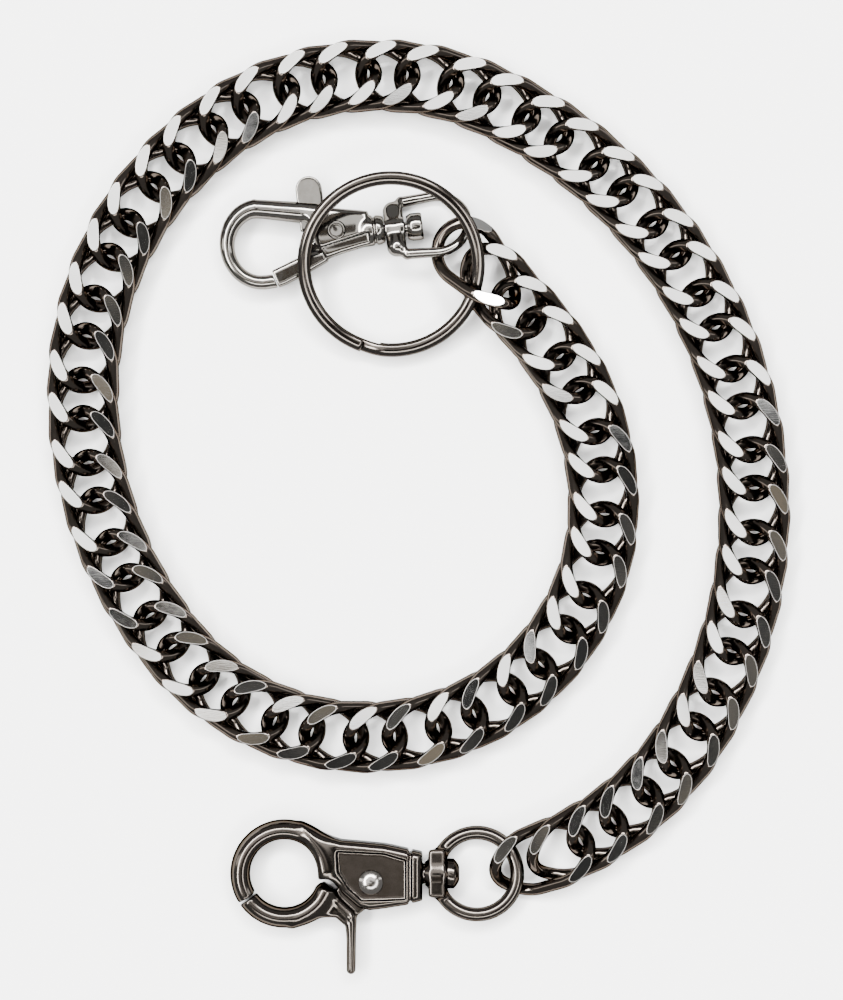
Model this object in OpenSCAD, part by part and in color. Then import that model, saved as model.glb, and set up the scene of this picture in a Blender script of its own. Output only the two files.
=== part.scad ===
// Wallet chain: a curb chain of 66 links with a trigger snap at one end
// and a split key ring with a small thumb snap at the other.
// All sizes are in millimetres and the chain lies coiled on a table at z = 0.

/* [Chain] */
// Thickness of the link wire
wire_d = 2.2; // [2:0.05:2.35]
// Height of the filed facet above the link's middle plane
facet_z = 3.29; // [3.1:0.01:3.4]
// Slope of the two filed facets, degrees
facet_slope = 7; // [5:0.5:8]

/* [Large clasp] */
// Thickness of the body plate
clasp_t = 5; // [4.6:0.1:5.2]
// Thickness of the hook band
hook_t = 4.4; // [4:0.1:4.6]
// Wire of the swivel ring
ring_wire = 2.4; // [2.1:0.1:2.4]

/* [Key ring and small clasp] */
// Width of the flat key ring wire
key_wire = 2.2; // [1.8:0.1:2.2]
// Wire of the small hook
hook_wire = 2.4; // [2.1:0.1:2.4]
// Thickness of the small clasp's body
small_t = 4.4; // [4.2:0.1:4.6]

/* [Hidden] */
link_nodes = [for (i = [1 : 33]) str("chain_links_", i < 10 ? "0" : "", i)];
$fn = 48;
steel = [0.42, 0.40, 0.38];
bright = [0.72, 0.72, 0.73];
// the coiled lay: number of steps, then degrees turned at every step
lay = [[5, 8], [5, 5.5], [7, 5.25], [6, 5.25], [7, 8.75], [7, 7.25], [7, 6], [7, 9.5], [7, 10.25],
    [4, 9], [3, 6]];
turns = [for (s = lay) for (i = [1 : s[0]]) s[1]];
pitch = 7.19;
stagger = 0.25;
first_heading = 20;
first_centre = [21.2, -61.1];
// moves the whole object so that its box stands centred on the origin
shift = [0.06, 0.071];
mid_z = 3.036;
// the last two links lie a little higher, turned and rolled by the key ring
last_links = [[14.78, 37.32, 3.44, -1, -1.7, 128.6], [10.42, 41.57, 4.83, 2.75, 18.7, 132.1]];
lap = 0.08;
thin = 0.03;

function unit(v) = v / norm(v);
function heading(k) = k == 0 ? first_heading : heading(k - 1) + turns[k - 1];
function towards(a) = [cos(a), sin(a)];
function centre(k) = k == 0 ? first_centre
    : centre(k - 1) + pitch * towards(heading(k - 1) + turns[k - 1] / 2);
function staggered(k) = centre(k) + (k % 2 == 0 ? stagger : -stagger) * towards(heading(k));
// end point shared by two circular arcs that leave p0 along t0 and reach p1 along t1
function middle(p0, t0, p1, t1) =
    let (v = p1 - p0, t = t0 + t1, k = 2 * (1 - t0 * t1),
         d = (sqrt((v * t) * (v * t) + k * (v * v)) - v * t) / k)
    (p0 + d * t0 + p1 - d * t1) / 2;
// outline of a w by h bar with rounded corners
function rounded(w, h, r) = [for (c = [[1, 1, 0], [-1, 1, 90], [-1, -1, 180], [1, -1, 270]])
    for (i = [0 : 3]) [c[0] * (w / 2 - r), c[1] * (h / 2 - r)] + r * towards(c[2] + 30 * i)];

// ---- one chain link: a twisted oval bent from circular arcs, filed flat above and below ----
link_a = 8.6;
link_b = 5.1;
tip_half = 30;
tip_tilt = 40;
side_half = 2;
side_slope = 27;
tip_dir = [0, cos(tip_tilt), -sin(tip_tilt)];
side_dir = [cos(side_slope), 0, -sin(side_slope)];
side_end = [0, link_b, 0] + side_half * side_dir;
tip_start = [link_a - link_b + link_b * cos(tip_half), 0, 0] + link_b * sin(tip_half) * tip_dir;
tip_head = [sin(tip_half), 0, 0] - cos(tip_half) * tip_dir;
corner_mid = middle(side_end, side_dir, tip_start, tip_head);

// round wire along the circular arc that leaves p along t and ends at q
module wire_arc(p, t, q, extra, d) {
    c = q - p;
    side = c - (c * t) * t;
    half = acos(c * t / norm(c));
    n = unit(side);
    r = norm(c) / (2 * sin(half));
    z = cross(-n, t);
    o = p + r * n;
    more = extra / r * 180 / PI;
    multmatrix([[-n[0], t[0], z[0], o[0]], [-n[1], t[1], z[1], o[1]], [-n[2], t[2], z[2], o[2]]])
        rotate([0, 0, -more])
            rotate_extrude(angle = 2 * half + 2 * more)
                translate([r, 0])
                    circle(d = d);
}

module link_corner() {
    wire_arc(side_end, side_dir, corner_mid, 0, wire_d);
    wire_arc(tip_start, -tip_head, corner_mid, lap, wire_d - thin);
}

module link_wire() {
    for (a = [0, 180]) rotate([0, 0, a]) {
        link_corner();
        rotate([180, 0, 0]) link_corner();
        translate([0, link_b, 0])
            rotate([0, 90 + side_slope, 0])
                cylinder(d = wire_d - thin, h = 2 * (side_half + lap), center = true);
        translate([link_a - link_b, 0, 0])
            rotate([-tip_tilt, 0, 0])
                rotate([0, 0, -tip_half])
                    rotate_extrude(angle = 2 * tip_half)
                        translate([link_b, 0])
                            circle(d = wire_d);
    }
}

module link() {
    w = link_b + 2;
    low = facet_z - w * tan(facet_slope);
    intersection() {
        link_wire();
        rotate([90, 0, 90])
            linear_extrude(30, center = true)
                polygon([[0, facet_z], [-w, low], [-w, -low], [0, -facet_z], [w, -low], [w, low]]);
    }
}

// link number k, counted from 0 at the large clasp
module placed_link(k) {
    last = k - 64;
    if (last < 0)
        translate(concat(staggered(k), [mid_z])) rotate([0, 0, heading(k)]) link();
    else
        translate([last_links[last][0], last_links[last][1], last_links[last][2]])
            rotate([0, 0, last_links[last][5]])
                rotate([0, last_links[last][3], 0])
                    rotate([last_links[last][4], 0, 0])
                        link();
}

module chain_pair(i) {
    color(steel) translate(shift) {
        placed_link(2 * i);
        placed_link(2 * i + 1);
    }
}

// ---- large clasp, drawn with its eye at the origin and its swivel axis along x ----
clasp_at = [-23.4, -63.8, mid_z];
rivet_at = [15.05, -1.3];
rivet_d = 2.6;
slot_half = 1.12;
eye_r = 7.55;
swivel_x = 25.1;
block_w = 2.8;

module at_clasp() {
    translate(shift) translate(clasp_at) children();
}

// a bar bent round the eye from angle a to angle b
module eye_band(a, b) {
    rotate([0, 0, a])
        rotate_extrude(angle = b - a)
            translate([eye_r, 0])
                polygon(rounded(3.7, hook_t, 1.3));
}

module clasp_outline() {
    polygon([[5.4, 5.6], [6.65, 6.6], [9.1, 5.5], [21.5, 3.1], [21.5, -4.4], [20.8, -5.1],
        [10.9, -5.1], [6, -0.2], [6.3, 3]]);
}

module clasp_panel() {
    polygon([[9.6, 4.1], [20.2, 2.05], [20.2, -3.7], [12.3, -3.8], [8.2, 0.4]]);
}

module clasp_body() {
    color(steel) at_clasp() difference() {
        union() {
            eye_band(0, 212.5);
            translate([0, 0, -clasp_t / 2]) linear_extrude(clasp_t) clasp_outline();
            translate([21.3, -4.1, -2.7]) cube([2.2, 7.9, 5.4]);
            translate([23, 0, 0]) rotate([0, 90, 0]) cylinder(d = 4.6, h = 1.95);
        }
        for (z = [clasp_t / 2 - 0.35, -clasp_t / 2 - 0.65])
            translate([0, 0, z]) linear_extrude(1) clasp_panel();
        translate([rivet_at[0], rivet_at[1], -slot_half]) cylinder(r = 3.95, h = 2 * slot_half);
        translate([0, 0, -slot_half])
            linear_extrude(2 * slot_half)
                polygon([[12.58, 1.17], [18.98, -1.3], [18.98, -6], [8.5, -6], [6.92, -4.49]]);
        translate([rivet_at[0], rivet_at[1], 0]) cylinder(d = rivet_d + 0.04, h = 10, center = true);
        translate([19.9, 0, 0]) rotate([0, 90, 0]) cylinder(d = 2.64, h = 8);
    }
}

module clasp_trigger() {
    color(steel) at_clasp() difference() {
        union() {
            difference() {
                eye_band(215, 352);
                linear_extrude(10, center = true) polygon([[0, 5.5], [14, -8.5], [14, 5.5]]);
            }
            translate([0, 0, -hook_t / 2])
                linear_extrude(hook_t)
                    polygon([[6, -0.5], [12.53, -7.03], [12.53, -16.7], [10.98, -16.7],
                        [10.98, -7.4], [6.3, -2.2]]);
            translate([11.755, -16.7, -hook_t / 2]) cylinder(d = 1.55, h = hook_t);
            translate([rivet_at[0], rivet_at[1], -1]) cylinder(r = 3.6, h = 2);
            translate([0, 0, -1])
                linear_extrude(2)
                    polygon([[17.38, -3.63], [12.72, 1.03], [7.98, -3.7], [12.5, -8.2]]);
        }
        translate([rivet_at[0], rivet_at[1], 0]) cylinder(d = rivet_d + 0.1, h = 10, center = true);
        translate([rivet_at[0], rivet_at[1], 0.05]) cylinder(d = 5.3, h = 2);
    }
}

module clasp_rivet() {
    head = clasp_t / 2 - 0.33;
    color(bright) at_clasp() translate([rivet_at[0], rivet_at[1], 0]) {
        cylinder(d = rivet_d, h = 2 * head + 0.2, center = true);
        for (s = [0, 180]) rotate([s, 0, 0]) intersection() {
            translate([0, 0, head]) cylinder(d = 4.3, h = 1);
            translate([0, 0, head - 2.75]) sphere(r = 3.6);
        }
    }
}

module clasp_spring() {
    color(bright) at_clasp() translate([rivet_at[0], rivet_at[1], 0]) {
        for (z = [0.34, 0.64])
            translate([0, 0, z]) rotate_extrude() translate([2.05, 0]) circle(d = 0.44);
    }
}

module clasp_swivel_stud() {
    color(bright) at_clasp() rotate([0, 90, 0]) {
        translate([0, 0, 20]) cylinder(d = 2.6, h = 8.6);
        intersection() {
            translate([0, 0, swivel_x + block_w + 0.5]) cylinder(d = 5.2, h = 2);
            translate([0, 0, 27.3]) sphere(r = 3.35);
        }
    }
}

// turned a little about the swivel axis, as the first link passes over and under it
ring_roll = -8;
ring_x = 33.45;

module swivel_ring() {
    color(steel) at_clasp() rotate([ring_roll, 0, 0]) difference() {
        union() {
            translate([ring_x, 0, 0]) rotate_extrude() translate([7.05, 0]) circle(d = ring_wire);
            translate([swivel_x, -4, -2.2]) cube([block_w, 8, 4.4]);
        }
        translate([swivel_x - 1, 0, 0]) rotate([0, 90, 0]) cylinder(d = 2.8, h = block_w + 2);
    }
}

// ---- split key ring: two flat coils pressed together ----
key_at = [-4.8, 41.68, 6.6];
key_tilt = 16.2;

module key_ring() {
    h = key_wire / 2;
    n = 0.09;
    c = 0.3;
    color(steel) translate(shift) translate(key_at) rotate([key_tilt, 0, 0])
        rotate_extrude()
            translate([15.05, 0])
                polygon([[h - c, h], [h, h - c], [h, c], [h - c, n], [h - c, -n], [h, -c], [h, c - h],
                    [h - c, -h], [c - h, -h], [-h, c - h], [-h, -c], [c - h, -n], [c - h, n], [-h, c],
                    [-h, h - c], [c - h, h]]);
}

// ---- small clasp, drawn with its ball head at the origin and its swivel axis along x ----
small_at = [-0.54, 48.66, 3.2];
small_turn = 7;
small_rivet = [-13.75, 0.88];
loop_roll = -24;
loop_end = 3.4;
loop_r = 5.6;

module at_small() {
    translate(shift) translate(small_at) rotate([0, 0, small_turn]) children();
}

module small_hook_wire() {
    translate([-26.3, -0.9, 0])
        rotate([0, 0, 90])
            rotate_extrude(angle = 180)
                translate([5.4, 0])
                    circle(d = hook_wire);
    translate([-26.4, 4.5, 0]) rotate([0, 90, 0]) cylinder(d = hook_wire - thin, h = 6.6);
    translate([-26.4, -6.3, 0]) rotate([0, 90, 0]) cylinder(d = hook_wire - thin, h = 4);
}

// the slanted joint between the hook's tip and the gate
module tip_cut(gap, w) {
    translate([-24.2, -5.6, 0]) rotate([0, 0, -45]) translate([-w / 2, gap, -3]) cube([w, w, 6]);
}

module small_clasp_body() {
    color(bright) at_small() difference() {
        union() {
            difference() {
                small_hook_wire();
                tip_cut(-0.1, 5);
            }
            translate([0, 0, -small_t / 2])
                linear_extrude(small_t)
                    polygon([[-20.6, 5.75], [-19.4, 5.9], [-9, 3.35], [-7.5, 3], [-7.5, -2.6],
                        [-9.4, -2.9], [-17.2, -5.1], [-18.8, -1.2], [-19, 2.9], [-20.6, 3.2]]);
            translate([-7.8, 0, 0]) rotate([0, 90, 0]) cylinder(d = 6, h = 2.4);
        }
        translate([0, 0, -0.86])
            linear_extrude(1.72)
                polygon([[-19.15, 7], [-10, 7], [-9.9, -6], [-19.2, -6], [-19.2, 2.8]]);
        translate([small_rivet[0], small_rivet[1], 0]) cylinder(d = 1.94, h = 10, center = true);
        translate([-9.6, 0, 0]) rotate([0, 90, 0]) cylinder(d = 2.04, h = 8);
    }
}

module small_clasp_gate() {
    color(bright) at_small() difference() {
        union() {
            intersection() {
                translate([0, 0, -1.15])
                    linear_extrude(2.3)
                        polygon([[-26, -4.5], [-20.4, -3.75], [-20.2, -5.85], [-23.5, -6.8],
                            [-26, -6.9]]);
                tip_cut(0.12, 20);
            }
            translate([0, 0, -0.72])
                linear_extrude(1.44)
                    polygon([[-21.5, -4], [-15.8, 1.5], [-12, -0.8], [-13.6, -3.6], [-21.5, -5.9]]);
            translate([small_rivet[0], small_rivet[1], -0.72]) cylinder(r = 2.4, h = 1.44);
            translate([-18.75, 2, -0.55]) cube([4.9, 5.6, 1.1]);
            translate([-16.3, 7.55, -0.56]) cylinder(r = 2.44, h = 1.12);
        }
        translate([small_rivet[0], small_rivet[1], 0]) cylinder(d = 2, h = 10, center = true);
        translate([small_rivet[0], small_rivet[1], 0]) cylinder(d = 3.9, h = 2);
    }
}

module small_clasp_rivet() {
    head = small_t / 2 + 0.02;
    color(bright) at_small() translate([small_rivet[0], small_rivet[1], 0]) {
        cylinder(d = 1.9, h = 2 * head + 0.2, center = true);
        for (s = [0, 180]) rotate([s, 0, 0]) difference() {
            translate([0, 0, head]) cylinder(d1 = 3.3, d2 = 2.8, h = 0.4);
            translate([0, 0, head + 0.15]) cylinder(d = 1.6, h = 1);
        }
    }
}

module small_clasp_spring() {
    color(bright) at_small() translate([small_rivet[0], small_rivet[1], 0]) {
        for (z = [0.2, 0.42])
            translate([0, 0, z]) rotate_extrude() translate([1.5, 0]) circle(d = 0.32);
    }
}

module small_clasp_stud() {
    color(bright) at_small() rotate([0, 90, 0]) {
        translate([0, 0, -9.5]) cylinder(d = 2, h = 8.4);
        intersection() {
            translate([0, 0, -1.55]) cylinder(d = 4.8, h = 2.7);
            sphere(r = 2.5);
        }
    }
}

module small_swivel_loop() {
    r = loop_r;
    wire = 1.6;
    color(bright) at_small() rotate([loop_roll, 0, 0]) difference() {
        union() {
            translate([loop_end, 0, 0])
                rotate([0, 0, -90])
                    rotate_extrude(angle = 180)
                        translate([r, 0])
                            circle(d = wire);
            for (m = [0, 1]) mirror([0, m, 0]) {
                translate([-2.2 - lap, r, 0])
                    rotate([0, 90, 0])
                        cylinder(d = wire - thin, h = loop_end + 2.2 + 2 * lap);
                translate([-2.2, r - 1.2, 0])
                    rotate([0, 0, 90])
                        rotate_extrude(angle = 90)
                            translate([1.2, 0])
                                circle(d = wire);
            }
            translate([-3.4, 0, 0])
                rotate([90, 0, 0])
                    cylinder(d = wire - thin, h = 2 * (r - 1.2 + lap), center = true);
            translate([-5.1, -3.9, -1.5]) cube([3.3, 7.8, 3]);
        }
        translate([-6, 0, 0]) rotate([0, 90, 0]) cylinder(d = 2.2, h = 5);
    }
}

clasp_body();
clasp_trigger();
clasp_rivet();
clasp_spring();
clasp_swivel_stud();
swivel_ring();
for (i = [0 : 32])
    chain_pair(i);
key_ring();
small_swivel_loop();
small_clasp_stud();
small_clasp_body();
small_clasp_rivet();
small_clasp_gate();
small_clasp_spring();
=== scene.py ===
import math

import bmesh
import bpy
import numpy as np
from mathutils import Matrix, Vector


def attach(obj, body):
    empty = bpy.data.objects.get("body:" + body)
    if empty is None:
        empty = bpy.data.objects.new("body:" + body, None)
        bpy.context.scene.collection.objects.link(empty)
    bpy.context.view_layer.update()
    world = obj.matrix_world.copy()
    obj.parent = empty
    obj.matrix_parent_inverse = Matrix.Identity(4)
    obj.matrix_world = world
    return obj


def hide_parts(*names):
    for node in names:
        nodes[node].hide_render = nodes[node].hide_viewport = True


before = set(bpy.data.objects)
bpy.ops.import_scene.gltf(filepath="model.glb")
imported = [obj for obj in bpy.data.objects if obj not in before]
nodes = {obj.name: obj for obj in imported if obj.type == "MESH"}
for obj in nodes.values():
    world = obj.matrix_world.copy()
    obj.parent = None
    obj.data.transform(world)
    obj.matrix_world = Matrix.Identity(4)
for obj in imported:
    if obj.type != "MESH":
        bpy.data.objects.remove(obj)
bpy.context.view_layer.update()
MM = 0.001

# ---------------------------------------------------------------- where the links lie (mm)
SHIFT = Vector((0.06, 0.071, 0.0))
LAY = ((5, 8), (5, 5.5), (7, 5.25), (6, 5.25), (7, 8.75), (7, 7.25), (7, 6), (7, 9.5), (7, 10.25),
       (4, 9), (3, 6))
PITCH = 7.19
STAGGER = 0.25
MID_Z = 3.036
LAST_LINKS = ((14.78, 37.32, 3.44, -1.0, -1.7, 128.6), (10.42, 41.57, 4.83, 2.75, 18.7, 132.1))


def turn(axis, degrees):
    return Matrix.Rotation(math.radians(degrees), 4, axis)


def towards(degrees):
    return Vector((math.cos(math.radians(degrees)), math.sin(math.radians(degrees)), 0.0))


def link_places():
    turns = [degrees for steps, degrees in LAY for _ in range(steps)]
    centre, heading = Vector((21.2, -61.1, MID_Z)), 20.0
    places = []
    for k in range(64):
        off = STAGGER if k % 2 == 0 else -STAGGER
        places.append(Matrix.Translation(SHIFT + centre + off * towards(heading)) @ turn("Z", heading))
        centre = centre + PITCH * towards(heading + turns[k] / 2)
        heading += turns[k]
    for x, y, z, nose, roll, head in LAST_LINKS:
        places.append(Matrix.Translation(SHIFT + Vector((x, y, z)))
                      @ turn("Z", head) @ turn("Y", nose) @ turn("X", roll))
    return places


# ---------------------------------------------------------------- materials
def noise_material(name, colour, rough, rough_spread=0.06, scale=900.0, bump=0.02, tint=0.08,
                   scratch=0.0, edge=1.0):
    mat = bpy.data.materials.new(name)
    mat.use_nodes = True
    tree = mat.node_tree
    tree.nodes.clear()
    new, link = tree.nodes.new, tree.links.new
    out = new("ShaderNodeOutputMaterial")
    shader = new("ShaderNodeBsdfPrincipled")
    shader.inputs["Metallic"].default_value = 1.0
    shader.inputs["Specular Tint"].default_value = (edge, edge, edge, 1)
    link(shader.outputs[0], out.inputs[0])
    coord = new("ShaderNodeTexCoord")
    fine = new("ShaderNodeTexNoise")
    fine.inputs["Scale"].default_value = scale
    fine.inputs["Detail"].default_value = 6.0
    link(coord.outputs["Object"], fine.inputs["Vector"])
    broad = new("ShaderNodeTexNoise")
    broad.inputs["Scale"].default_value = 110.0
    broad.inputs["Detail"].default_value = 3.0
    link(coord.outputs["Object"], broad.inputs["Vector"])
    rough_map = new("ShaderNodeMapRange")
    rough_map.inputs["From Min"].default_value = 0.3
    rough_map.inputs["From Max"].default_value = 0.7
    rough_map.inputs["To Min"].default_value = rough - rough_spread / 2
    rough_map.inputs["To Max"].default_value = rough + rough_spread
    link(fine.outputs["Fac"], rough_map.inputs["Value"])
    link(rough_map.outputs[0], shader.inputs["Roughness"])
    ramp = new("ShaderNodeValToRGB")
    dark = [c * (1 - tint) for c in colour]
    light = [min(1.0, c * (1 + tint)) for c in colour]
    ramp.color_ramp.elements[0].position = 0.35
    ramp.color_ramp.elements[0].color = (*dark, 1)
    ramp.color_ramp.elements[1].position = 0.65
    ramp.color_ramp.elements[1].color = (*light, 1)
    link(broad.outputs["Fac"], ramp.inputs["Fac"])
    link(ramp.outputs["Color"], shader.inputs["Base Color"])
    bump_node = new("ShaderNodeBump")
    bump_node.inputs["Strength"].default_value = bump
    bump_node.inputs["Distance"].default_value = 0.0002
    if scratch:
        stretch = new("ShaderNodeMapping")
        stretch.inputs["Scale"].default_value = (1.0, 9.0, 1.0)
        stretch.inputs["Rotation"].default_value = (0.0, 0.0, 0.6)
        link(coord.outputs["Object"], stretch.inputs["Vector"])
        lines = new("ShaderNodeTexNoise")
        lines.inputs["Scale"].default_value = 700.0
        lines.inputs["Detail"].default_value = 5.0
        link(stretch.outputs["Vector"], lines.inputs["Vector"])
        add = new("ShaderNodeMath")
        add.operation = "MULTIPLY_ADD"
        add.inputs[1].default_value = scratch
        link(lines.outputs["Fac"], add.inputs[0])
        link(fine.outputs["Fac"], add.inputs[2])
        link(add.outputs[0], bump_node.inputs["Height"])
    else:
        link(fine.outputs["Fac"], bump_node.inputs["Height"])
    link(bump_node.outputs["Normal"], shader.inputs["Normal"])
    return mat


WIRE = noise_material("chain_wire", (0.072, 0.060, 0.051), 0.10, 0.03, edge=0.1, bump=0.01)
FACET = noise_material("chain_facet", (0.60, 0.59, 0.57), 0.045, 0.02, edge=0.4, bump=0.004, scratch=3.0)
RIM = noise_material("facet_rim", (0.24, 0.23, 0.22), 0.42, bump=0.01)
CLASP = noise_material("clasp_plate", (0.062, 0.054, 0.047), 0.13, 0.03, edge=0.12, bump=0.003)
RING = noise_material("key_ring_wire", (0.065, 0.057, 0.05), 0.12, 0.03, edge=0.12, bump=0.002)
NICKEL = noise_material("small_nickel", (0.16, 0.15, 0.136), 0.11, 0.03, edge=0.2, bump=0.001)
DOME = noise_material("rivet_dome", (0.22, 0.205, 0.19), 0.14, edge=0.4, bump=0.008)
SPRING = noise_material("spring_wire", (0.4, 0.4, 0.41), 0.25, edge=0.6)


def paper_material():
    mat = bpy.data.materials.new("paper_floor")
    mat.use_nodes = True
    shader = mat.node_tree.nodes["Principled BSDF"]
    shader.inputs["Base Color"].default_value = (0.93, 0.925, 0.915, 1)
    shader.inputs["Roughness"].default_value = 0.9
    shader.inputs["Specular IOR Level"].default_value = 0.1
    return mat


# ---------------------------------------------------------------- chain links
WIRE_R = 1.1
LINK_A = 8.53
LINK_B = 5.1
TIP_HALF = 30
TIP_TILT = 40
SIDE_HALF = 2.0
SIDE_SLOPE = 27
FACET_Z = 3.29
FACET_SLOPE = 7
LINK_ROLL = 0.8
RIM_WIDTH = 0.08
SMALLEST_FACET = 0.5  # mm2: smaller cuts are slivers at a facet's ends


def arc_points(p, t, q, n):
    chord = q - p
    side = (chord - chord.dot(t) * t).normalized()
    half = math.acos(chord.dot(t) / chord.length)
    r = chord.length / (2 * math.sin(half))
    centre = p + r * side
    return [centre - side * r * math.cos(2 * half * i / n) + t * r * math.sin(2 * half * i / n)
            for i in range(n + 1)]


def arcs_meet(p0, t0, p1, t1):
    v, t = p1 - p0, t0 + t1
    k = 2 * (1 - t0.dot(t1))
    d = (math.sqrt(v.dot(t) ** 2 + k * v.dot(v)) - v.dot(t)) / k
    return (p0 + d * t0 + p1 - d * t1) / 2


def link_path():
    slope, tilt, half = (math.radians(a) for a in (SIDE_SLOPE, TIP_TILT, TIP_HALF))
    side = Vector((math.cos(slope), 0, -math.sin(slope)))
    across = Vector((0, math.cos(tilt), -math.sin(tilt)))
    end = Vector((0, LINK_B, 0)) + SIDE_HALF * side
    tip = Vector((LINK_A - LINK_B + LINK_B * math.cos(half), 0, 0)) + LINK_B * math.sin(half) * across
    head = Vector((math.sin(half), 0, 0)) - math.cos(half) * across
    mid = arcs_meet(end, side, tip, head)
    quarter = [Vector((0, LINK_B, 0)) + side * SIDE_HALF * i / 5 for i in range(5)]
    quarter += arc_points(end, side, mid, 10)[:-1]
    quarter += arc_points(tip, -head, mid, 8)[::-1][:-1]
    for i in range(7):
        a = half * (1 - i / 6)
        quarter.append(Vector((LINK_A - LINK_B + LINK_B * math.cos(a), 0, 0))
                       + LINK_B * math.sin(a) * across)
    back = [Vector((p.x, -p.y, -p.z)) for p in quarter[::-1]]
    start = quarter[:-1] + back[:-1]
    return start + [Vector((-p.x, -p.y, p.z)) for p in start]


def tube(bm, path, radius, sides):
    """A closed tube along a loop of points, its rings turned evenly so that the ends meet."""
    count = len(path)
    frames = []
    normal = None
    for i, p in enumerate(path):
        t = (path[(i + 1) % count] - path[i - 1]).normalized()
        if normal is None:
            normal = t.orthogonal().normalized()
        normal = (normal - normal.dot(t) * t).normalized()
        frames.append((p, t, normal.copy()))
    p, t, first = frames[0]
    carried = (normal - normal.dot(t) * t).normalized()
    twist = math.atan2(carried.cross(first).dot(t), carried.dot(first))
    rings = []
    for i, (p, t, n) in enumerate(frames):
        n = Matrix.Rotation(twist * i / count, 3, t) @ n
        b = t.cross(n)
        rings.append([bm.verts.new(p + radius * (math.cos(math.tau * s / sides) * n
                                                 + math.sin(math.tau * s / sides) * b))
                      for s in range(sides)])
    for i in range(count):
        a, b = rings[i], rings[(i + 1) % count]
        for s in range(sides):
            bm.faces.new((a[s], a[(s + 1) % sides], b[(s + 1) % sides], b[s]))


def master_link():
    bm = bmesh.new()
    tube(bm, link_path(), WIRE_R, 24)
    slope = math.radians(FACET_SLOPE)
    for up in (1, -1):
        for side in (1, -1):
            normal = Vector((0, side * math.sin(slope), up * math.cos(slope)))
            point = Vector((0, 0, up * FACET_Z))
            bmesh.ops.bisect_plane(bm, geom=bm.verts[:] + bm.edges[:] + bm.faces[:], dist=1e-5,
                                   plane_co=point, plane_no=normal, clear_outer=True)
            rim = [e for e in bm.edges if e.is_boundary]
            made = bmesh.ops.holes_fill(bm, edges=rim, sides=0)
            for f in made["faces"]:
                f.material_index = 1
    bmesh.ops.recalc_face_normals(bm, faces=bm.faces)
    for f in bm.faces:
        if f.material_index == 1 and f.calc_area() < SMALLEST_FACET:
            f.material_index = 0
        f.smooth = f.material_index == 0
    facets = [f for f in bm.faces if f.material_index == 1]
    for f in bmesh.ops.inset_individual(bm, faces=facets, thickness=RIM_WIDTH, depth=0.0)["faces"]:
        f.material_index = 2
    return bm


def finish_object(bm, name, mats):
    mesh = bpy.data.meshes.new(name)
    bm.to_mesh(mesh)
    for m in mats:
        mesh.materials.append(m)
    obj = bpy.data.objects.new(name, mesh)
    bpy.context.scene.collection.objects.link(obj)
    return obj


def make_chain():
    master = master_link()
    single = bpy.data.meshes.new("link_master")
    master.to_mesh(single)
    for pair in range(33):
        bm = bmesh.new()
        for k in (2 * pair, 2 * pair + 1):
            before = len(bm.verts)
            bm.from_mesh(single)
            bm.verts.ensure_lookup_table()
            rest = PLACES[k] @ turn("X", LINK_ROLL if k % 2 else -LINK_ROLL)
            bmesh.ops.transform(bm, matrix=Matrix.Scale(MM, 4) @ rest, verts=bm.verts[before:])
        name = "chain_links_%02d" % (pair + 1)
        obj = finish_object(bm, "links_%02d" % (pair + 1), (WIRE, FACET, RIM))
        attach(obj, "pair_%02d" % (pair + 1))
        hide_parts(name)
    bpy.data.meshes.remove(single)


PLACES = link_places()
make_chain()

# ---------------------------------------------------------------- split key ring: a real two-turn coil
KEY_AT = Vector((-4.8, 41.68, 6.6)) + SHIFT
KEY_TILT = 16.2
KEY_R = 15.05
COIL_HALF = (1.1, 0.56)  # half width and half height of the oval wire
COIL_STEPS = 320
COIL_SIDES = 16
COIL_START = 262.0
COIL_TURN = 708.0
JOGGLE = (343.0, 365.0)  # degrees along the coil between which it climbs onto itself


def make_key_ring():
    bm = bmesh.new()
    wide, high = COIL_HALF
    corners = [math.tau * i / COIL_SIDES for i in range(COIL_SIDES)]
    section = [(wide * math.cos(c), high * math.sin(c)) for c in corners]
    rings = []
    for i in range(COIL_STEPS + 1):
        a = COIL_TURN * i / COIL_STEPS
        climb = min(1.0, max(0.0, (a - JOGGLE[0]) / (JOGGLE[1] - JOGGLE[0])))
        z = high * (2 * (3 * climb ** 2 - 2 * climb ** 3) - 1)
        out = towards(a + COIL_START)
        rings.append([bm.verts.new(out * (KEY_R + u) + Vector((0, 0, z + w))) for u, w in section])
    for a, b in zip(rings, rings[1:]):
        for s in range(COIL_SIDES):
            t = (s + 1) % COIL_SIDES
            bm.faces.new((a[s], a[t], b[t], b[s]))
    bm.faces.new(rings[0][::-1])
    bm.faces.new(rings[-1])
    bmesh.ops.recalc_face_normals(bm, faces=bm.faces)
    for f in bm.faces:
        f.smooth = len(f.verts) == 4
    place = Matrix.Scale(MM, 4) @ Matrix.Translation(KEY_AT) @ turn("X", KEY_TILT)
    bmesh.ops.transform(bm, matrix=place, verts=bm.verts)
    obj = finish_object(bm, "split_ring", (RING,))
    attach(obj, "key_ring")
    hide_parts("key_ring")


make_key_ring()

# ---------------------------------------------------------------- cast shapes from distance fields (mm)
def merge(a, b, k):
    """Union of two distance fields with a fillet of size k."""
    h = np.clip(0.5 + 0.5 * (b - a) / k, 0, 1)
    return b * (1 - h) + a * h - k * h * (1 - h)


def carve(a, b, k):
    """Field a without field b, its new edge softened by k."""
    return -merge(-a, b, k)


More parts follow.
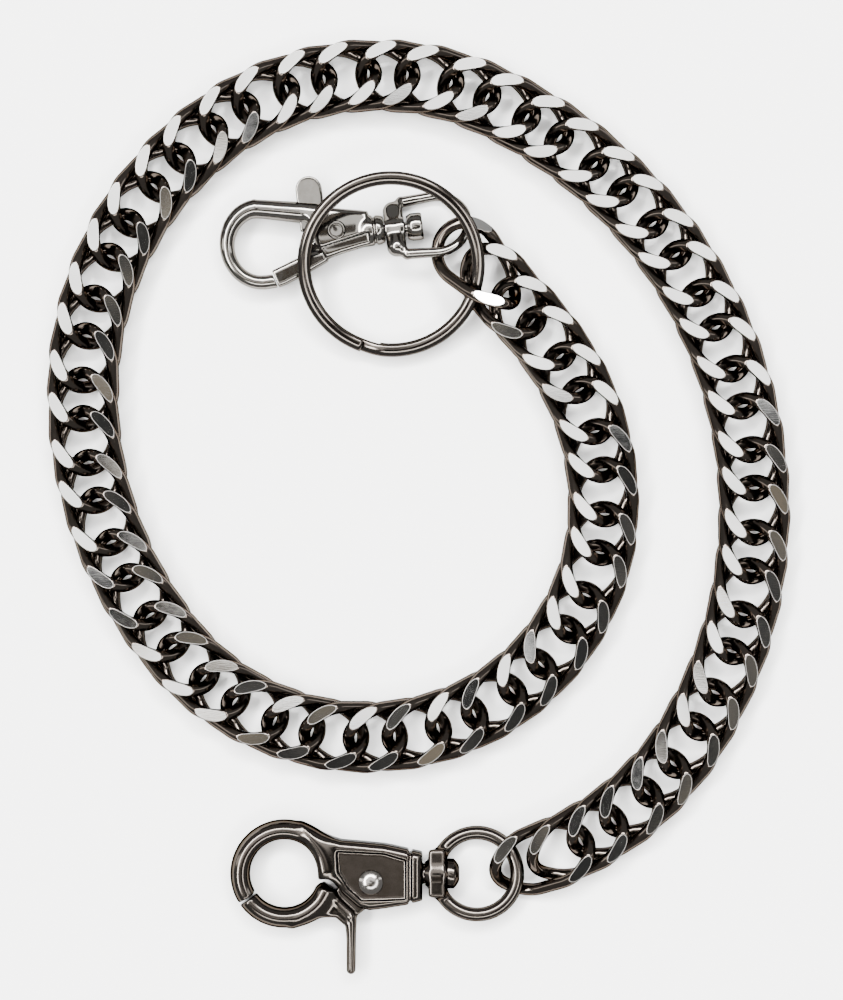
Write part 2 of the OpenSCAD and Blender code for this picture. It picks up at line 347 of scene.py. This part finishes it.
def outline_distance(points, x, y):
    """Signed distance to a closed outline, negative inside."""
    near = np.full(x.shape, 1e9)
    inside = np.zeros(x.shape, bool)
    for (ax, ay), (bx, by) in zip(points, points[1:] + points[:1]):
        ex, ey = bx - ax, by - ay
        t = np.clip(((x - ax) * ex + (y - ay) * ey) / (ex * ex + ey * ey), 0, 1)
        near = np.minimum(near, np.hypot(x - ax - t * ex, y - ay - t * ey))
        if ey:
            crosses = (ay > y) != (by > y)
            inside ^= crosses & (x < ax + (y - ay) * ex / ey)
    return np.where(inside, -near, near)


def pillow(flat, z, half, r):
    """A plate of half thickness half over a flat field, its edges rounded by r."""
    across, up = flat + r, np.abs(z) - half + r
    return np.minimum(np.maximum(across, up), 0) + np.hypot(np.maximum(across, 0), np.maximum(up, 0)) - r


def rod(x, y, z, start, end, r0, r1):
    """A round bar from start to end whose radius goes from r0 to r1."""
    a, b = np.array(start, float), np.array(end, float)
    e = b - a
    t = np.clip(((x - a[0]) * e[0] + (y - a[1]) * e[1] + (z - a[2]) * e[2]) / e.dot(e), 0, 1)
    return np.sqrt((x - a[0] - t * e[0]) ** 2 + (y - a[1] - t * e[1]) ** 2
                   + (z - a[2] - t * e[2]) ** 2) - (r0 + (r1 - r0) * t)


def slab(x, y, z, centre, half, r):
    """A block with edges rounded by r."""
    q = [np.abs(v - c) - h + r for v, c, h in zip((x, y, z), centre, half)]
    out = np.sqrt(sum(np.maximum(v, 0) ** 2 for v in q))
    return out + np.minimum(np.maximum(np.maximum(q[0], q[1]), q[2]), 0) - r


def field_slope(field, points):
    h = 0.02
    rise = [field(*(points + step).T) - field(*(points - step).T) for step in np.eye(3) * h]
    return np.stack(rise, 1) / (2 * h)


EASE_ROUNDS = 4


def surface(field, low, high, cell):
    """Quads on the zero level of a distance field, each corner pulled onto it and then eased."""
    axes = [np.arange(a, b + cell, cell) for a, b in zip(low, high)]
    inside = field(*np.meshgrid(*axes, indexing="ij")) < 0
    size = [n - 1 for n in inside.shape]
    votes = sum(inside[i:size[0] + i, j:size[1] + j, k:size[2] + k].astype(int)
                for i in (0, 1) for j in (0, 1) for k in (0, 1))
    mixed = (votes > 0) & (votes < 8)
    number = np.full(mixed.shape, -1)
    number[mixed] = np.arange(mixed.sum())
    points = np.array(low) + cell * (np.argwhere(mixed) + 0.5)
    for _ in range(5):
        slope = field_slope(field, points)
        steep = np.maximum((slope ** 2).sum(1), 0.05)
        points -= slope * np.clip(field(*points.T) / steep, -cell, cell)[:, None]
    quads = []
    for u in range(3):
        v, w = (u + 1) % 3, (u + 2) % 3
        here = [slice(1, -1)] * 3
        here[u] = slice(0, -1)
        there = list(here)
        there[u] = slice(1, None)
        a, b = inside[tuple(here)], inside[tuple(there)]
        for leaving in (True, False):
            at = np.argwhere((a if leaving else b) & ~(b if leaving else a))
            at[:, v] += 1
            at[:, w] += 1
            corner = []
            for dv, dw in ((-1, -1), (0, -1), (0, 0), (-1, 0)):
                c = at.copy()
                c[:, v] += dv
                c[:, w] += dw
                corner.append(number[tuple(c.T)])
            quads.append(np.stack(corner if leaving else corner[::-1], 1))
    quads = np.concatenate(quads)
    shared = np.bincount(quads.ravel(), minlength=len(points))[:, None]
    for _ in range(EASE_ROUNDS):
        middle = points[quads].mean(1)
        pull = np.zeros(points.shape)
        for side in range(4):
            np.add.at(pull, quads[:, side], middle)
        points = points + 0.6 * (pull / shared - points)
    return points, quads


def cast_piece(name, node, body, mat, place, field, low, high, cell=0.17):
    points, quads = surface(field, low, high, cell)
    mesh = bpy.data.meshes.new(name)
    mesh.from_pydata((points * MM).tolist(), [], quads.tolist())
    mesh.transform(Matrix.Translation(place.to_translation() * MM) @ place.to_3x3().to_4x4())
    mesh.polygons.foreach_set("use_smooth", [True] * len(mesh.polygons))
    mesh.materials.append(mat)
    obj = bpy.data.objects.new(name, mesh)
    bpy.context.scene.collection.objects.link(obj)
    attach(obj, body)
    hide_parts(node)
    return obj


# ---------------------------------------------------------------- large clasp, its eye at the origin
LARGE = Matrix.Translation(SHIFT + Vector((-23.4, -63.8, MID_Z)))
EYE_R = 7.57
EYE_HOLE = 5.72
BODY_OUTLINE = [(3.1, 8.5), (6.5, 6.9), (9.9, 5.9), (13.3, 5.6), (17.5, 5.2), (21.2, 4.4), (24.0, 3.7),
                (24.0, -4.5), (21.2, -5.3), (17.5, -5.9), (14.8, -6.2), (12.9, -5.7), (9.9, -3.1),
                (7.9, -0.2), (6.0, -0.6), (5.4, 3.0)]
PANEL_OUTLINE = [(9.3, 4.0), (17.3, 3.6), (21.0, 2.5), (21.0, -4.1), (13.5, -4.3), (11.2, -2.2), (9.5, 0.6)]
BLADE_OUTLINE = [(1.5, -8.9), (6.2, -7.4), (9.0, -7.6), (10.6, -9.0), (10.9, -11.5), (11.0, -16.9),
                 (12.2, -16.9), (12.6, -7.2), (12.2, -6.4), (6.9, -1.5), (5.9, -4.5), (3.0, -6.6)]
SLOT_OUTLINE = [(12.6, 1.2), (19.0, -1.3), (19.0, -7.5), (8.5, -7.5), (6.0, -3.5)]
TANG_OUTLINE = [(17.4, -3.6), (12.7, 1.0), (8.2, -3.6), (12.2, -7.6)]
RIDGE = [(6.5, -2.3), (11.6, -7.5), (11.6, -16.7)]
BODY_HALF = 2.55
BLADE_HALF = 1.55
SLOT_HALF = 1.12
TANG_HALF = 1.0
PANEL_FLOOR = 2.02
GROOVE_X = 21.9


def sector(x, y, start, end):
    """Negative between two directions from the origin, in degrees, less than half a turn apart."""
    a, b = math.radians(start), math.radians(end)
    return np.maximum(x * math.sin(a) - y * math.cos(a), y * math.cos(b) - x * math.sin(b))


def eye_ring(x, y, z):
    return np.hypot(np.hypot(x, y) - EYE_R, z * 0.76) - 1.86


def large_body(x, y, z):
    ring = carve(eye_ring(x, y, z), sector(x, y, 212.6, 356), 0.25)
    shape = merge(ring, pillow(outline_distance(BODY_OUTLINE, x, y), z, BODY_HALF, 1.25), 1.6)
    shape = carve(shape, np.hypot(x, y) - EYE_HOLE, 0.9)
    panel = outline_distance(PANEL_OUTLINE, x, y) - 0.1
    for side in (1, -1):
        shape = carve(shape, np.maximum(panel, PANEL_FLOOR - side * z), 0.35)
    shape = carve(shape, np.maximum(np.abs(x - GROOVE_X) - 0.22, -(shape + 0.5)), 0.3)
    slot = outline_distance(SLOT_OUTLINE, x, y)
    shape = carve(shape, np.maximum(slot, np.abs(z) - SLOT_HALF), 0.15)
    return merge(shape, rod(x, y, z, (23.5, 0, 0), (24.4, 0, 0), 1.7, 1.7), 0.3)


def large_trigger(x, y, z):
    ring = carve(eye_ring(x, y, z), -sector(x, y, 215.0, 340.0), 0.3)
    shape = merge(ring, pillow(outline_distance(BLADE_OUTLINE, x, y), z, BLADE_HALF, 0.7), 1.6)
    for a, b in zip(RIDGE, RIDGE[1:]):
        shape = merge(shape, rod(x, y, z * 0.45, (*a, 0), (*b, 0), 0.72, 0.78), 0.35)
    tang = outline_distance(TANG_OUTLINE, x, y)
    shape = merge(shape, pillow(tang, z, TANG_HALF, 0.25), 0.3)
    return carve(shape, np.hypot(x, y) - EYE_HOLE, 0.6)


SWIVEL_X = 33.45
SWIVEL_R = 7.05
SWIVEL_WIRE = 1.22


def large_swivel(x, y, z):
    ring = np.hypot(np.hypot(x - SWIVEL_X, y) - SWIVEL_R, z) - SWIVEL_WIRE
    block = slab(x, y, z, (26.5, 0, 0), (1.45, 4.1, 2.3), 0.5)
    shape = merge(merge(block, rod(x, y, z, (25.9, 0, 0), (27.1, 0, 0), 2.5, 2.5), 0.4), ring, 0.9)
    return carve(shape, np.maximum(np.hypot(y, z) - 1.36, np.abs(x - 26.5) - 2.2), 0.15)


# ---------------------------------------------------------------- small clasp, its ball head at the origin
SMALL = Matrix.Translation(SHIFT + Vector((-0.54, 48.66, 3.2))) @ turn("Z", 7)
HOOK_AT = (-27.2, 0.0)
HOOK_R = (5.8, 6.45)
HOOK_WIRE = 1.42
CHEEK_OUTLINE = [(-19.4, 6.2), (-14.5, 5.1), (-8.0, 3.6), (-7.6, -2.2), (-9.7, -2.5), (-13.3, -3.2),
                 (-16.2, -4.0), (-17.6, -1.2), (-18.4, 2.6)]
FACET_OUTLINE = [(-17.8, -2.0), (-8.3, -0.1), (-8.3, -4.5), (-17.8, -6.5)]
GATE_OUTLINE = [(-27.0, -5.0), (-20.0, -2.6), (-16.0, -2.2), (-15.8, -4.2), (-20.3, -6.1), (-23.5, -7.3),
                (-27.0, -8.2)]
CLEFT_OUTLINE = [(-19.6, 9), (-10.5, 9), (-10.5, -6.5), (-19.6, -6.5)]
CLEFT_HALF = 0.86
ARM_OUTLINE = [(-21.5, -3.6), (-15.8, 1.5), (-12.0, -0.8), (-13.6, -3.0), (-20.0, -5.4)]
STEM_OUTLINE = [(-20.0, 1.5), (-15.4, 1.5), (-15.4, 8.6), (-20.0, 8.6)]
TAB_AT = (-17.7, 8.6)
TAB_R = 2.3
TAB_LEAN = 0.09


def tip_side(x, y):
    """Distance past the slanted joint between the hook's tip and the gate."""
    return (x + 25.9) * 0.958 + (y + 4.4) * 0.284


def small_body(x, y, z):
    u, v = x - HOOK_AT[0], y - HOOK_AT[1]
    bend = np.hypot(np.hypot(u * HOOK_R[1] / HOOK_R[0], v) - HOOK_R[1], z) - HOOK_WIRE - 0.03 * v
    top, low = HOOK_AT[1] + HOOK_R[1], HOOK_AT[1] - HOOK_R[1]
    shape = np.maximum(bend, u)
    shape = merge(shape, rod(x, y, z, (HOOK_AT[0], top, 0), (-17.4, 4.4, 0), HOOK_WIRE + 0.19, 1.9), 0.3)
    tip = rod(x, y, z, (HOOK_AT[0], low, 0), (-23.5, low + 0.1, 0), HOOK_WIRE - 0.19, 1.2)
    shape = merge(shape, np.maximum(tip, tip_side(x, y) + 0.06), 0.1)
    crown = 2.1 - 0.035 * (y - 1.0) ** 2
    shape = merge(shape, pillow(outline_distance(CHEEK_OUTLINE, x, y), z, crown, 0.9), 1.0)
    shape = merge(shape, rod(x, y, z, (-8.2, 0.3, 0), (-6.9, 0.2, 0), 2.6, 2.6), 0.5)
    facet = outline_distance(FACET_OUTLINE, x, y)
    for side in (1, -1):
        shape = carve(shape, np.maximum(facet, 1.55 - side * z), 0.4)
    shape = carve(shape, np.maximum(np.abs(x + 7.2) - 0.18, -(shape + 0.4)), 0.25)
    cleft = outline_distance(CLEFT_OUTLINE, x, y)
    shape = carve(shape, np.maximum(cleft, np.abs(z) - CLEFT_HALF), 0.12)
    return np.maximum(shape, x + 5.5)


def small_gate(x, y, z):
    bar = pillow(outline_distance(GATE_OUTLINE, x, y), z, 1.15, 0.7)
    shape = np.maximum(bar, 0.06 - tip_side(x, y))
    shape = merge(shape, pillow(outline_distance(ARM_OUTLINE, x, y), z, 0.72, 0.2), 0.3)
    stem = outline_distance(STEM_OUTLINE, x, y)
    head = np.hypot(x - TAB_AT[0], y - TAB_AT[1]) - TAB_R
    tab = pillow(np.minimum(stem, head), z - TAB_LEAN * (y - 4.0), 0.5, 0.25)
    return merge(shape, tab, 0.2)


LOOP_X = 3.4
LOOP_R = 5.6
LOOP_WIRE = 0.85
LOOP_ROLL = -24


def small_loop(x, y, z):
    shape = np.maximum(np.hypot(np.hypot(x - LOOP_X, y) - LOOP_R, z) - LOOP_WIRE, LOOP_X - x)
    for side in (1, -1):
        arm = rod(x, y, z, (-2.0, side * 5.2, 0), (LOOP_X, side * LOOP_R, 0), 0.95, LOOP_WIRE)
        shape = merge(shape, arm, 0.2)
    bar = rod(x, y, z, (-3.7, -3.5, 0), (-3.7, 3.5, 0), 1.75, 1.75)
    for side in (1, -1):
        bar = merge(bar, rod(x, y, z, (-3.5, side * 3.3, 0), (-2.0, side * 5.2, 0), 1.3, 0.95), 0.5)
    bar = merge(bar, rod(x, y, z, (-5.0, 0, 0), (-2.2, 0, 0), 2.1, 2.1), 0.5)
    shape = merge(shape, np.maximum(bar, np.maximum(x + 2.0, -x - 5.4)), 0.4)
    return carve(shape, np.hypot(y, z) - 1.1, 0.12)


cast_piece("large_clasp_body", "clasp_body", "large_clasp", CLASP, LARGE,
           large_body, (-9.9, -7.0, -3.1), (26.5, 10.0, 3.1))
cast_piece("large_clasp_trigger", "clasp_trigger", "trigger", CLASP, LARGE,
           large_trigger, (-9.9, -19.0, -3.1), (18.2, 1.9, 3.1))
cast_piece("large_clasp_ring", "swivel_ring", "swivel_ring", CLASP,
           LARGE @ turn("X", -8), large_swivel, (24.3, -8.8, -3.0), (42.2, 8.8, 3.0))
cast_piece("small_clasp_cast", "small_clasp_body", "small_clasp", NICKEL, SMALL,
           small_body, (-35.2, -8.4, -3.1), (-4.2, 9.0, 3.1), 0.15)
cast_piece("small_clasp_lever", "small_clasp_gate", "gate", NICKEL, SMALL,
           small_gate, (-27.6, -8.8, -1.9), (-11.2, 11.6, 1.9), 0.14)
cast_piece("small_clasp_loop", "small_swivel_loop", "small_loop", NICKEL,
           SMALL @ turn("X", LOOP_ROLL), small_loop, (-7.2, -7.0, -2.6), (10.4, 7.0, 2.6), 0.14)

# ---------------------------------------------------------------- clasps: the CAD nodes, softened
LOOKS = {"clasp_rivet": DOME, "clasp_swivel_stud": CLASP, "clasp_spring": SPRING,
         "small_clasp_rivet": NICKEL, "small_clasp_spring": SPRING, "small_clasp_stud": NICKEL}
for name, mat in LOOKS.items():
    obj = nodes[name]
    obj.data.materials.clear()
    obj.data.materials.append(mat)
    weld = obj.modifiers.new("weld", "WELD")
    weld.merge_threshold = 0.000004
    bevel = obj.modifiers.new("bevel", "BEVEL")
    bevel.width = 0.00022
    bevel.segments = 3
    bevel.limit_method = "ANGLE"
    bevel.angle_limit = math.radians(32)
    bevel.harden_normals = True
    for f in obj.data.polygons:
        f.use_smooth = True

# ---------------------------------------------------------------- stage, light, camera
bpy.ops.mesh.primitive_plane_add(size=24.0, location=(0, 0, 0))
floor = bpy.context.object
floor.name = "floor"
floor.data.materials.append(paper_material())

world = bpy.data.worlds.new("studio")
bpy.context.scene.world = world
world.use_nodes = True
sky = world.node_tree


def calc(operation, *values):
    node = sky.nodes.new("ShaderNodeMath")
    node.operation = operation
    for slot, value in zip(node.inputs, values):
        if isinstance(value, (int, float)):
            slot.default_value = value
        else:
            sky.links.new(value, slot)
    return node.outputs[0]


def step(value, low, high):
    node = sky.nodes.new("ShaderNodeMapRange")
    node.interpolation_type = "SMOOTHSTEP"
    node.clamp = True
    node.inputs["From Min"].default_value = low
    node.inputs["From Max"].default_value = high
    sky.links.new(value, node.inputs["Value"])
    return node.outputs[0]


def patch(x, y, centre, half, soft):
    """A soft-edged oval of the sky, 1 inside and 0 outside, seen from below."""
    dx = calc("DIVIDE", calc("SUBTRACT", x, centre[0]), half[0])
    dy = calc("DIVIDE", calc("SUBTRACT", y, centre[1]), half[1])
    away = calc("SQRT", calc("ADD", calc("MULTIPLY", dx, dx), calc("MULTIPLY", dy, dy)))
    return step(away, 1 + soft, 1 - soft)


# centre, half size and softness of oval parts of the ceiling, by a direction's x and y
CAMERA_SHAPE = ((0.0, 0.078), (0.15, 0.105), 0.1)
FAR_PATCH = ((-0.27, -0.23), (0.07, 0.06), 0.25)
LOW_PATCH = ((0.0, -0.18), (0.14, 0.055), 0.15)


def studio_sky():
    """A dim room with a pale ceiling panel, a bright hoop around it and the camera's dark shape."""
    coord = sky.nodes.new("ShaderNodeTexCoord")
    split = sky.nodes.new("ShaderNodeSeparateXYZ")
    sky.links.new(coord.outputs["Generated"], split.inputs[0])
    x, y, z = split.outputs
    left = calc("MULTIPLY", step(x, -0.46, -0.40), step(x, 0.10, 0.06))
    left = calc("MULTIPLY", left, step(y, -0.13, -0.09))
    right = calc("MULTIPLY", step(x, 0.0, 0.06), step(x, 0.46, 0.40))
    right = calc("MULTIPLY", right, step(y, 0.06, 0.10))
    panel = calc("MULTIPLY", calc("MAXIMUM", left, right), step(y, 0.50, 0.44))
    panel = calc("MULTIPLY", panel, calc("SUBTRACT", 1.0, patch(x, y, *CAMERA_SHAPE)))
    panel = calc("MAXIMUM", panel, patch(x, y, *FAR_PATCH))
    reach = calc("SQRT", calc("ADD", calc("MULTIPLY", x, x), calc("MULTIPLY", y, y)))
    murk = sky.nodes.new("ShaderNodeTexNoise")
    murk.inputs["Scale"].default_value = 8.0
    sky.links.new(coord.outputs["Generated"], murk.inputs["Vector"])
    blot = step(murk.outputs["Fac"], 0.46, 0.64)
    ceiling = calc("MULTIPLY_ADD", blot, BLOT_LIGHT, CEILING_LIGHT)
    wall = step(reach, 0.42, 0.60)
    room = calc("MULTIPLY_ADD", wall, calc("SUBTRACT", ROOM_LIGHT, ceiling), ceiling)
    light = calc("MULTIPLY_ADD", panel, PANEL_LIGHT, room)
    hoop = calc("MULTIPLY", step(reach, 0.49, 0.52), step(reach, 0.64, 0.61))
    along = calc("ADD", calc("MULTIPLY", x, -0.6), calc("MULTIPLY", y, 0.8))
    arcs = calc("MULTIPLY_ADD", step(along, -0.15, -0.30), 0.3, step(along, 0.0, 0.15))
    light = calc("MULTIPLY_ADD", calc("MULTIPLY", hoop, arcs), HOOP_LIGHT, light)
    light = calc("MULTIPLY_ADD", patch(x, y, *LOW_PATCH), LOW_LIGHT, light)
    light = calc("MULTIPLY", light, step(z, -0.1, 0.1))
    tint = sky.nodes.new("ShaderNodeMix")
    tint.data_type = "RGBA"
    tint.inputs[6].default_value = (0.985, 0.992, 1.0, 1)
    tint.inputs[7].default_value = (1.0, 0.85, 0.64, 1)
    dim = calc("MULTIPLY", calc("SUBTRACT", 1.0, panel), calc("SUBTRACT", 1.0, wall))
    sky.links.new(calc("MULTIPLY", blot, dim), tint.inputs[0])
    background = sky.nodes["Background"]
    sky.links.new(tint.outputs[2], background.inputs["Color"])
    sky.links.new(light, background.inputs["Strength"])


PANEL_LIGHT = 4.0
CEILING_LIGHT = 0.05
BLOT_LIGHT = 0.3
ROOM_LIGHT = 0.5
HOOP_LIGHT = 70.0
LOW_LIGHT = 0.5
studio_sky()


def softbox(name, place, target, size, power, tint=(1, 1, 1)):
    data = bpy.data.lights.new(name, "AREA")
    data.shape = "RECTANGLE"
    data.size, data.size_y = size
    data.energy = power
    data.color = tint
    obj = bpy.data.objects.new(name, data)
    bpy.context.scene.collection.objects.link(obj)
    obj.location = place
    obj.rotation_euler = (Vector(target) - Vector(place)).to_track_quat("-Z", "Y").to_euler()
    return obj


softbox("left_strip", (-1.1, 0.1, 0.55), (0, 0, 0), (0.25, 0.8), 3.0, (1, 0.99, 0.97))
softbox("right_strip", (1.1, 0.3, 0.6), (0, 0, 0), (0.2, 0.7), 2.0, (0.96, 0.98, 1))

VIEW_HEIGHT = 0.1739
VIEW_CENTRE = Vector((0.0005, 0.0012, 0.003))
DISTANCE = 0.437
camera_data = bpy.data.cameras.new("camera")
camera = bpy.data.objects.new("camera", camera_data)
bpy.context.scene.collection.objects.link(camera)
bpy.context.scene.camera = camera
camera.location = VIEW_CENTRE + Vector((0, 0, DISTANCE))
camera_data.lens = camera_data.sensor_width * DISTANCE / VIEW_HEIGHT
camera_data.clip_start = 0.01
